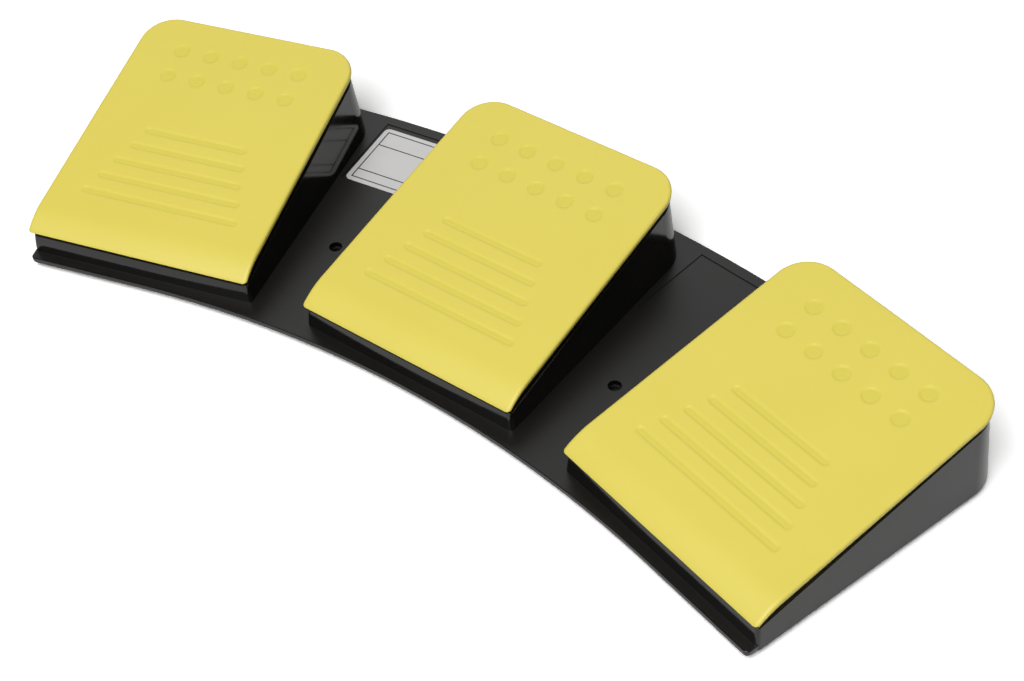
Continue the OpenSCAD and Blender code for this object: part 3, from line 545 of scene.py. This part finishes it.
insulation = grained(
    "lead_insulation", dark=(0.36, 0.022, 0.02), light=(0.47, 0.036, 0.032),
    rough=(0.4, 0.5), fine=1800, cloud=200, depth=0.01,
)
lead_routes = {
    "left": [
        outer_route(-1, BLADE_SIDE, LANE_SPLIT, -PLUG_PITCH - LEAD_SPLIT),
        outer_route(-1, 0, -LANE_SPLIT, -PLUG_PITCH + LEAD_SPLIT),
    ],
    "centre": [
        inner_route(0, -INNER_SPLIT, -LEAD_SPLIT),
        inner_route(BLADE_SIDE, INNER_SPLIT, LEAD_SPLIT),
    ],
    "right": [
        outer_route(1, BLADE_SIDE, LANE_SPLIT, PLUG_PITCH + LEAD_SPLIT),
        outer_route(1, 0, -LANE_SPLIT, PLUG_PITCH - LEAD_SPLIT),
    ],
}
for side, routes in lead_routes.items():
    leads = wire_piece("leads_" + side, [laid(r) for r in routes], LEAD_RADIUS, insulation)
    fitted(leads, "base", "lead_red", "switch_leads_" + side)

# Springs
# Two compression springs of bright steel wire under the rear of each treadle, with a
# closed turn at each end. They stand on the plate and are built at one length; the real ones
# shorten as the pedal goes down.
SPRING_SIDE, SPRING_R = 26.0, 448.0
COIL_RADIUS, SPRING_WIRE, SPRING_TURNS = 4.2, 0.45, 7
SPRING_FOOT, SPRING_TOP = 2.4, 22.0
SPRING_STEPS = 36


def coil(k, side):
    """Points along a spring's wire; its end turns rise by one wire and so lie closed."""
    low = SPRING_FOOT + SPRING_WIRE
    closed_turn = 2 * SPRING_WIRE
    lift = SPRING_TOP - SPRING_FOOT - 2 * SPRING_WIRE - 2 * closed_turn
    points = []
    for i in range(SPRING_TURNS * SPRING_STEPS + 1):
        t = i / SPRING_STEPS
        rise = min(max((t - 1) / (SPRING_TURNS - 2), 0), 1) * lift
        ends = closed_turn * (min(t, 1) + max(t - SPRING_TURNS + 1, 0))
        a = 2 * math.pi * t
        points.append(row_point(
            k,
            side * SPRING_SIDE + COIL_RADIUS * math.cos(a),
            SPRING_R + COIL_RADIUS * math.sin(a),
            low + ends + rise,
        ))
    return points


spring_steel = grained(
    "spring_steel", dark=(0.42, 0.42, 0.43), light=(0.58, 0.58, 0.59),
    rough=(0.2, 0.34), fine=2600, cloud=500, depth=0.004, metal=1.0,
)
for side, k in SIDES.items():
    for letter, way in (("a", -1), ("b", 1)):
        spring = wire_piece("coil_" + side + "_" + letter, [coil(k, way)], SPRING_WIRE, spring_steel)
        fitted(spring, "base", "steel", "spring_" + side + "_" + letter)
        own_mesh(spring)

# Base shell
# One black plastic moulding: the arc-shaped deck with three drafted pedal housings.
# The housings come from polished mould faces and mirror the label; the deck is satin.
SHELL_EDGE = 0.3 * MM
DECK_TOP, DECK_SLACK, DECK_LEVEL = 4.4 * MM, 0.1 * MM, 0.95
SATIN_ROUGH = 0.4
SHELL_IOR = 1.58
shell_black = grained(
    "shell_black", dark=(0.0036, 0.0031, 0.0027), light=(0.0052, 0.0046, 0.0041),
    rough=(0.09, 0.14), fine=2600, cloud=30, depth=0.0006,
)
nodes, links = shell_black.node_tree.nodes, shell_black.node_tree.links
nodes["Principled BSDF"].inputs["IOR"].default_value = SHELL_IOR
deck_share = nodes.new("ShaderNodeAttribute")
deck_share.attribute_name = "satin"
gloss = nodes.new("ShaderNodeMix")
gloss.inputs["B"].default_value = SATIN_ROUGH
links.new(deck_share.outputs["Fac"], gloss.inputs["Factor"])
links.new(nodes["sheen"].outputs["Result"], gloss.inputs["A"])
links.new(gloss.outputs["Result"], nodes["Principled BSDF"].inputs["Roughness"])
base_shell = rounded_object(merged_copy("base_shell"), "shell", SHELL_EDGE, shell_black)
satin = base_shell.data.attributes.new("satin", "FLOAT", "FACE")
for face in base_shell.data.polygons:
    on_deck = face.normal.z > DECK_LEVEL and face.center.z < DECK_TOP + DECK_SLACK
    satin.data[face.index].value = on_deck
fitted(base_shell, "base", "shell_black", "base_shell")

# Label
# A rounded film label stuck in the recessed panel between two pedals. It is blank
# but for the printed frame and two ruled lines that divide it into rows.
LABEL_WIDTH, LABEL_HEIGHT, LABEL_FRONT = 31.6, 28.4, 442.5
FRAME_INSET = 1.9
RULE_WIDTH = 0.45
RULE_ROWS = (6.1, 19.6)
FILM_EDGE = 0.05 * MM
INK = (0.012, 0.012, 0.012)


def ruled_group():
    """Shader group: mask of a printed frame with two cross rules, on a UV map in mm."""
    group = bpy.data.node_groups.new("ruled_frame", "ShaderNodeTree")
    group.interface.new_socket("Mask", in_out="OUTPUT", socket_type="NodeSocketFloat")
    nodes, links = group.nodes, group.links
    out = nodes.new("NodeGroupOutput")
    place = nodes.new("ShaderNodeUVMap")
    place.uv_map = "label_mm"
    split = nodes.new("ShaderNodeSeparateXYZ")
    links.new(place.outputs["UV"], split.inputs["Vector"])

    def step(kind, a, b):
        node = nodes.new("ShaderNodeMath")
        node.operation = kind
        for socket, value in ((node.inputs[0], a), (node.inputs[1], b)):
            if isinstance(value, (int, float)):
                socket.default_value = value
            else:
                links.new(value, socket)
        return node.outputs["Value"]

    across = step("SUBTRACT", step("ABSOLUTE", split.outputs["X"], 0), LABEL_WIDTH / 2 - FRAME_INSET)
    middle = step("SUBTRACT", split.outputs["Y"], LABEL_HEIGHT / 2)
    along = step("SUBTRACT", step("ABSOLUTE", middle, 0), LABEL_HEIGHT / 2 - FRAME_INSET)
    edge = step("MAXIMUM", across, along)
    mask = step("LESS_THAN", step("ABSOLUTE", edge, 0), RULE_WIDTH / 2)
    inside = step("LESS_THAN", edge, 0)
    for height in RULE_ROWS:
        off = step("ABSOLUTE", step("SUBTRACT", split.outputs["Y"], height), 0)
        line = step("MULTIPLY", step("LESS_THAN", off, RULE_WIDTH / 2), inside)
        mask = step("MAXIMUM", mask, line)
    links.new(mask, out.inputs["Mask"])
    return group


label_film = grained(
    "label_film", dark=(0.61, 0.605, 0.595), light=(0.65, 0.645, 0.635),
    rough=(0.3, 0.42), fine=1500, cloud=80, depth=0.002,
)
nodes, links = label_film.node_tree.nodes, label_film.node_tree.links
ruled = nodes.new("ShaderNodeGroup")
ruled.node_tree = ruled_group()
print_ink = nodes.new("ShaderNodeMix")
print_ink.data_type = "RGBA"
print_ink.inputs["B"].default_value = (*INK, 1)
links.new(ruled.outputs["Mask"], print_ink.inputs["Factor"])
links.new(nodes["tint"].outputs["Result"], print_ink.inputs["A"])
links.new(print_ink.outputs["Result"], nodes["Principled BSDF"].inputs["Base Color"])

label = rounded_object(merged_copy("blank_label"), "label", FILM_EDGE, label_film)
label_map = label.data.uv_layers.new(name="label_mm")
gap_turn = -FAN / 2
for loop in label.data.loops:
    x, y, _ = label.data.vertices[loop.vertex_index].co
    y -= ARC_CENTRE_Y
    s = x * math.cos(gap_turn) - y * math.sin(gap_turn)
    r = x * math.sin(gap_turn) + y * math.cos(gap_turn)
    label_map.data[loop.index].uv = (s / MM, r / MM - LABEL_FRONT)
fitted(label, "base", "label_white", "blank_label")

# Cord inlet
# A black rubber grommet buttoned into a seat in the centre housing's rear wall,
# with a flange on each side of the wall and a bore for the cord.
GROMMET_EDGE = 0.3 * MM
grommet_rubber = grained(
    "grommet_rubber", dark=(0.010, 0.010, 0.010), light=(0.022, 0.022, 0.022),
    rough=(0.5, 0.65), fine=2000, cloud=120, depth=0.015,
)
solid = merged_copy("cable_grommet")
grommet = rounded_object(solid, "grommet", GROMMET_EDGE, grommet_rubber, segments=3)
fitted(grommet, "base", "grommet_black", "cable_grommet")

# Hinge pins
# A straight ground steel pin across the front of each housing, pressed into the
# shell's ears; the knuckles of the treadle turn on it.
PIN_EDGE = 0.2 * MM
for side in SIDES:
    pin = rounded_object(merged_copy("hinge_pin_" + side), "pin_" + side, PIN_EDGE, zinc)
    fitted(pin, "base", "steel", "hinge_pin_" + side)

# Treadles
# The black plastic levers under the pads: a plate with a skirt, ribs, hinge knuckles
# and hooks, moulded in one. Only their skirts show in the gap under the pads.
TREADLE_EDGE = 0.2 * MM
treadle_black = grained(
    "treadle_black", dark=(0.006, 0.006, 0.006), light=(0.010, 0.010, 0.010),
    rough=(0.42, 0.55), fine=2400, cloud=40, depth=0.01,
)
for side in SIDES:
    solid = merged_copy("treadle_" + side)
    treadle = rounded_object(solid, "lever_" + side, TREADLE_EDGE, treadle_black)
    fitted(treadle, "pedal_" + side, "treadle_black", "treadle_" + side)

# Pads
# Soft yellow rubber mats bonded to the treadles, with a rolled nose, rounded edges
# and a shallow moulded relief of grip grooves and round dimples.
PAD_HALF = 40.0
PAD_FRONT, PAD_REAR = 375.4, 471.2
PAD_REAR_TOP = 33.2
PAD_SLOPE = math.radians(9.76)
PAD_DEPTH = 2.4 / math.cos(PAD_SLOPE)
LIP_DEPTH = 1.7
NOSE_START, NOSE_RADIUS = 386.0, 20.0
FRONT_CORNER, REAR_CORNER = 1.3, 11.5
PAD_ROUND = 1.0
SIDE_ROUND_SHARE, LIP_ROUND_SHARE = 0.42, 0.12
ROUND_DEGREES = range(30, 91, 15)
SIDE_TUCK = ((0.03, 0.62), (0.15, 0.86), (0.5, 1.0))
LIP_TUCK = ((0.5, 0.45), (1.0, 0.75), (1.6, 1.0))
MESH_STEP, FRONT_STEPS, REAR_STEPS = 0.36, 4, 30
RELIEF_DEPTH, RELIEF_SOFT = 0.3, 0.42
GROOVE_HALF, GROOVE_START, GROOVE_PITCH, GROOVES = 1.2, 394.0, 7.0, 5
GROOVE_LONG, GROOVE_SHORTER = 27.2, 2.4
DIMPLE_RADIUS, DIMPLE_PITCH, DIMPLE_BACK = 2.6, 11.2, 14.0
DIMPLE_ROWS, DIMPLE_COLUMNS = (0, 1), (-2, -1, 0, 1, 2)
# darker yellow in the grooves and dimples: painted shade in the recesses
GROOVE_SHADE_YELLOW = (0.715, 0.615, 0.088)


def pad_height(r):
    """Height of a pad's top over the floor at a distance from the arc's centre."""
    drop = 0
    if r < NOSE_START:
        drop = NOSE_RADIUS - math.sqrt(NOSE_RADIUS ** 2 - (NOSE_START - r) ** 2)
    return PAD_REAR_TOP + (r - PAD_REAR) * math.tan(PAD_SLOPE) - drop


def pad_depth(r):
    """Thickness of a pad, which thins towards its lip."""
    share = max(0, (NOSE_START - r) / (NOSE_START - PAD_FRONT))
    return PAD_DEPTH + (LIP_DEPTH - PAD_DEPTH) * share


def grip_share(s, r):
    """How far a point of a pad is sunk in the moulded grip pattern, from 0 to 1."""
    near = PAD_HALF
    for i in range(GROOVES):
        past = max(0, abs(s) - GROOVE_LONG + i * GROOVE_SHORTER)
        off = math.hypot(past, r - GROOVE_START - i * GROOVE_PITCH)
        near = min(near, off - GROOVE_HALF)
    for row in DIMPLE_ROWS:
        for column in DIMPLE_COLUMNS:
            before = r - PAD_REAR + DIMPLE_BACK + row * DIMPLE_PITCH
            off = math.hypot(s - column * DIMPLE_PITCH, before)
            near = min(near, off - DIMPLE_RADIUS)
    share = min(1, max(0, 0.5 - near / (2 * RELIEF_SOFT)))
    return share * share * (3 - 2 * share)


def pad_rows():
    """Rows across a pad's flat top: distance, half width, and the way its edge faces."""
    half, front, rear = PAD_HALF - PAD_ROUND, PAD_FRONT + PAD_ROUND, PAD_REAR - PAD_ROUND
    near, far = FRONT_CORNER - PAD_ROUND, REAR_CORNER - PAD_ROUND
    rows = []
    for i in range(FRONT_STEPS + 1):
        a = math.radians(90 * i / FRONT_STEPS - 90)
        rows.append((front + near + near * math.sin(a), half - near + near * math.cos(a), a))
    run = rear - far - front - near
    count = round(run / MESH_STEP)
    rows += [(front + near + run * i / count, half, 0) for i in range(1, count)]
    for i in range(REAR_STEPS + 1):
        a = math.radians(90 * i / REAR_STEPS)
        rows.append((rear - far + far * math.sin(a), half - far + far * math.cos(a), a))
    return rows


def edge_layers():
    """Layers down a pad's edge, each as reach outwards and share of depth, at a side and at the lip."""
    layers = []
    for degrees in ROUND_DEGREES:
        a = math.radians(degrees)
        reach, fall = PAD_ROUND * math.sin(a), 1 - math.cos(a)
        layers.append(((reach, SIDE_ROUND_SHARE * fall), (reach, LIP_ROUND_SHARE * fall)))
    for side, lip in zip(SIDE_TUCK, LIP_TUCK):
        layers.append(((PAD_ROUND - side[0], side[1]), (PAD_ROUND - lip[0], lip[1])))
    return layers


def pad_shape():
    """Points of a pad as (side, distance, height), its faces, and how far each point is sunk."""
    rows = pad_rows()
    columns = round(2 * PAD_HALF / MESH_STEP)
    points, faces, sunk = [], [], []
    for r, half, _ in rows:
        for j in range(columns + 1):
            s = half * (2 * j / columns - 1)
            sunk.append(grip_share(s, r))
            points.append((s, r, pad_height(r) - RELIEF_DEPTH * sunk[-1]))
    wide = columns + 1
    for i in range(len(rows) - 1):
        for j in range(columns):
            a = i * wide + j
            faces.append((a, a + 1, a + wide + 1, a + wide))
    last = len(rows) - 1
    facing = [(math.cos(a), math.sin(a)) for _, _, a in rows]
    # the rim runs along the front, up the right side, back along the rear and down the left side
    rim = [(j, 0, -1) for j in range(wide)]
    rim += [(i * wide + columns, facing[i][0], facing[i][1]) for i in range(1, last)]
    rim += [(last * wide + j, 0, 1) for j in range(columns, -1, -1)]
    rim += [(i * wide, -facing[i][0], facing[i][1]) for i in range(last - 1, 0, -1)]
    above = [start for start, _, _ in rim]
    for at_side, at_lip in edge_layers():
        below = []
        for start, face_s, face_r in rim:
            reach, share = (a + (b - a) * max(0, -face_r) for a, b in zip(at_side, at_lip))
            s, r = points[start][0] + reach * face_s, points[start][1] + reach * face_r
            below.append(len(points))
            points.append((s, r, pad_height(r) - share * pad_depth(r)))
        for j in range(len(rim)):
            n = (j + 1) % len(rim)
            faces.append((above[j], below[j], below[n], above[n]))
        above = below
    rear = columns + last
    right = above[columns:rear + 1]
    left = [above[0]] + above[rear + wide:][::-1] + [above[rear + columns]]
    for i in range(1, last - 1):
        faces.append((left[i], left[i + 1], right[i + 1], right[i]))
    faces.append(tuple(above[:wide]) + (right[1], left[1]))
    faces.append(tuple(above[rear:rear + wide]) + (left[last - 1], right[last - 1]))
    sunk += [0] * (len(points) - len(sunk))
    return points, faces, sunk


pad_rubber = grained(
    "pad_rubber", dark=(0.740, 0.625, 0.100), light=(0.760, 0.645, 0.108),
    rough=(0.38, 0.46), fine=1400, cloud=25, depth=0.004,
)
nodes, links = pad_rubber.node_tree.nodes, pad_rubber.node_tree.links
# the deeper a point is sunk in the grip pattern, the more it takes the darker yellow: painted shade in
# the recesses
groove_shade_mask = nodes.new("ShaderNodeAttribute")
groove_shade_mask.attribute_name = "sunk"
groove_shade_tint = nodes.new("ShaderNodeMix")
groove_shade_tint.data_type = "RGBA"
groove_shade_tint.inputs["B"].default_value = (*GROOVE_SHADE_YELLOW, 1)
links.new(groove_shade_mask.outputs["Fac"], groove_shade_tint.inputs["Factor"])
links.new(nodes["tint"].outputs["Result"], groove_shade_tint.inputs["A"])
links.new(groove_shade_tint.outputs["Result"], nodes["Principled BSDF"].inputs["Base Color"])
pad_points, pad_faces, pad_sunk = pad_shape()
for side, k in SIDES.items():
    mesh = bpy.data.meshes.new("mat_" + side)
    mesh.from_pydata([row_point(k, s, r, z) for s, r, z in pad_points], [], pad_faces)
    bm = bmesh.new()
    bm.from_mesh(mesh)
    bmesh.ops.recalc_face_normals(bm, faces=bm.faces)
    bm.to_mesh(mesh)
    bm.free()
    mesh.shade_smooth()
    mesh.attributes.new("sunk", "FLOAT", "POINT").data.foreach_set("value", pad_sunk)
    mesh.materials.append(pad_rubber)
    pad = bpy.data.objects.new("mat_" + side, mesh)
    bpy.context.scene.collection.objects.link(pad)
    fitted(pad, "pedal_" + side, "pad_yellow", "pad_" + side)

# Floor
# A wide sheet of matt paper under the row, as for a catalogue picture. It takes the row's
# shadow; to the camera it is brighter than to other rays, and pure white further away.
FLOOR_HALF = 6.0
SHADOW_REACH, WHITE_REACH = 0.35, 0.9
PAPER, PAPER_MIRRORED, PAPER_SEEN = 0.5, 0.8, 1.35
corners = [(x * FLOOR_HALF, y * FLOOR_HALF, 0) for x, y in ((-1, -1), (1, -1), (1, 1), (-1, 1))]
floor_mesh = bpy.data.meshes.new("floor")
floor_mesh.from_pydata(corners, [], [(0, 1, 2, 3)])
floor = bpy.data.objects.new("floor", floor_mesh)
bpy.context.scene.collection.objects.link(floor)
paper = bpy.data.materials.new("paper_floor")
paper.use_nodes = True
nodes, links = paper.node_tree.nodes, paper.node_tree.links
nodes.remove(nodes["Principled BSDF"])
ray = nodes.new("ShaderNodeLightPath")
mirrored = nodes.new("ShaderNodeMix")
mirrored.inputs["A"].default_value = PAPER
mirrored.inputs["B"].default_value = PAPER_MIRRORED
direct = nodes.new("ShaderNodeMix")
direct.inputs["B"].default_value = PAPER_SEEN
matt = nodes.new("ShaderNodeBsdfDiffuse")
place = nodes.new("ShaderNodeTexCoord")
away = nodes.new("ShaderNodeVectorMath")
away.operation = "LENGTH"
far = nodes.new("ShaderNodeMapRange")
far.interpolation_type = "SMOOTHSTEP"
far.inputs["From Min"].default_value = SHADOW_REACH
far.inputs["From Max"].default_value = WHITE_REACH
seen = nodes.new("ShaderNodeMath")
seen.operation = "MULTIPLY"
white = nodes.new("ShaderNodeEmission")
sweep = nodes.new("ShaderNodeMixShader")
links.new(ray.outputs["Is Glossy Ray"], mirrored.inputs["Factor"])
links.new(ray.outputs["Is Camera Ray"], direct.inputs["Factor"])
links.new(mirrored.outputs["Result"], direct.inputs["A"])
links.new(direct.outputs["Result"], matt.inputs["Color"])
links.new(place.outputs["Object"], away.inputs["Vector"])
links.new(away.outputs["Value"], far.inputs["Value"])
links.new(far.outputs["Result"], seen.inputs[0])
links.new(ray.outputs["Is Camera Ray"], seen.inputs[1])
links.new(seen.outputs["Value"], sweep.inputs["Fac"])
links.new(matt.outputs["BSDF"], sweep.inputs[1])
links.new(white.outputs["Emission"], sweep.inputs[2])
links.new(sweep.outputs["Shader"], nodes["Material Output"].inputs["Surface"])
floor_mesh.materials.append(paper)

# Painted shade under the fixing holes
# Two black discs lie on the floor under the fixing holes, hidden by the base: painted
# shade, so that the holes look dark and no lit paper shines up through them.
SHADE_DOT_RADIUS, SHADE_DOT_LIFT, SHADE_DOT_SIDES = 9 * MM, 0.05 * MM, 32
# black of the two discs: painted shade standing in for the shade under the base at the holes
painted_shade_black = grained(
    "painted_shade_black", dark=(0.004, 0.004, 0.004), light=(0.010, 0.010, 0.010),
    rough=(0.85, 0.95), fine=1200, cloud=200, depth=0.05,
)
holes = next(m for m in frame["record"]["mounts"] if m["name"] == "fixing_holes")
bm = bmesh.new()
for way in (-1, 1):
    spot = Vector((way * holes["dims"]["spacing_x_mm"] / 2 * MM, holes["pos_m"][1], SHADE_DOT_LIFT))
    bmesh.ops.create_circle(
        bm, cap_ends=True, radius=SHADE_DOT_RADIUS, segments=SHADE_DOT_SIDES, matrix=Matrix.Translation(spot)
    )
painted_shade_mesh = bpy.data.meshes.new("felt_dots")
bm.to_mesh(painted_shade_mesh)
bm.free()
painted_shade_mesh.materials.append(painted_shade_black)
felt_dots = bpy.data.objects.new("felt_dots", painted_shade_mesh)
bpy.context.scene.collection.objects.link(felt_dots)

# Light
# Three soft boxes, the strongest in front and above, the others behind and at the right.
# A faint even sky fills the shadows; it is white only where the camera looks at it.
SKY_LEVEL, SKY_SEEN = 0.1, 1.0


def soft_box(name, place, size, watts):
    """A square area light that looks at the middle of the row."""
    data = bpy.data.lights.new(name, "AREA")
    data.shape = "SQUARE"
    data.size = size
    data.energy = watts
    lamp = bpy.data.objects.new(name, data)
    lamp.location = place
    lamp.rotation_euler = (-Vector(place)).to_track_quat("-Z", "Y").to_euler()
    bpy.context.scene.collection.objects.link(lamp)


world = bpy.data.worlds.new("studio")
world.use_nodes = True
nodes, links = world.node_tree.nodes, world.node_tree.links
sky_ray = nodes.new("ShaderNodeLightPath")
sky_level = nodes.new("ShaderNodeMix")
sky_level.inputs["A"].default_value = SKY_LEVEL
sky_level.inputs["B"].default_value = SKY_SEEN
nodes["Background"].inputs["Color"].default_value = (1, 1, 1, 1)
links.new(sky_ray.outputs["Is Camera Ray"], sky_level.inputs["Factor"])
links.new(sky_level.outputs["Result"], nodes["Background"].inputs["Strength"])
bpy.context.scene.world = world
soft_box("key_light", place=(0.1, -1.0, 1.65), size=1.3, watts=36)
soft_box("back_panel", place=(-0.92, 1.13, 1.32), size=1.5, watts=6)
soft_box("side_panel", place=(1.5, 0.3, 0.95), size=0.5, watts=4)
bpy.context.scene.view_settings.view_transform = "Standard"
